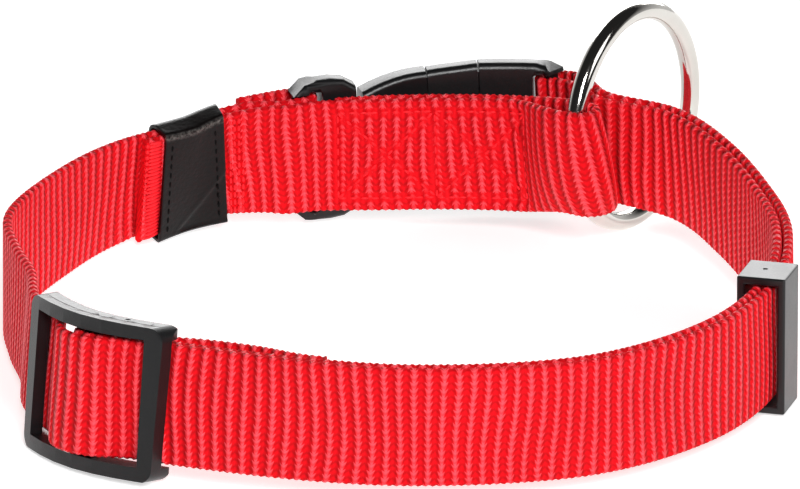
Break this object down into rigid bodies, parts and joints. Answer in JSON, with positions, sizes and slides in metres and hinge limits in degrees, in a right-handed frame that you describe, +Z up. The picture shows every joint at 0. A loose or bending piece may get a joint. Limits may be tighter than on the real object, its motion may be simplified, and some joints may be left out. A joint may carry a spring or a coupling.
{
  "type": "dog collar",
  "caption": "Closed webbing dog collar with a relief loop, a bowed slider, a strap keeper, a side-release buckle and a welded leash ring.",
  "frame": {"origin": "on the floor under the middle of the whole collar", "axes": "+Z up, with the collar standing on the edge of its webbing; -Y towards the front, where the slider and keeper are; +X to the keeper's side"},
  "size_m": [0.163, 0.1956, 0.0496],
  "materials": {
    "nylon": "ribbed woven nylon webbing",
    "plastic": "moulded acetal with a fine grain",
    "vinyl": "satin vinyl",
    "nickel": "polished nickel plate"
  },
  "bodies": {
    "collar": {"main_strap": "nylon", "relief_strap": "nylon", "tri_glide": "plastic", "keeper": "plastic", "sleeve_patch": "vinyl", "buckle_female": "plastic", "buckle_male": "plastic"},
    "ring": {"leash_ring": "nickel"}
  },
  "joints": [
    {"name": "ring_turn", "type": "hinge", "parent": "collar", "child": "ring", "pos_m": [0.04922, 0.07699, 0.02505], "axis": [0.8336, -0.5524, 0], "continuous": true}
  ]
}
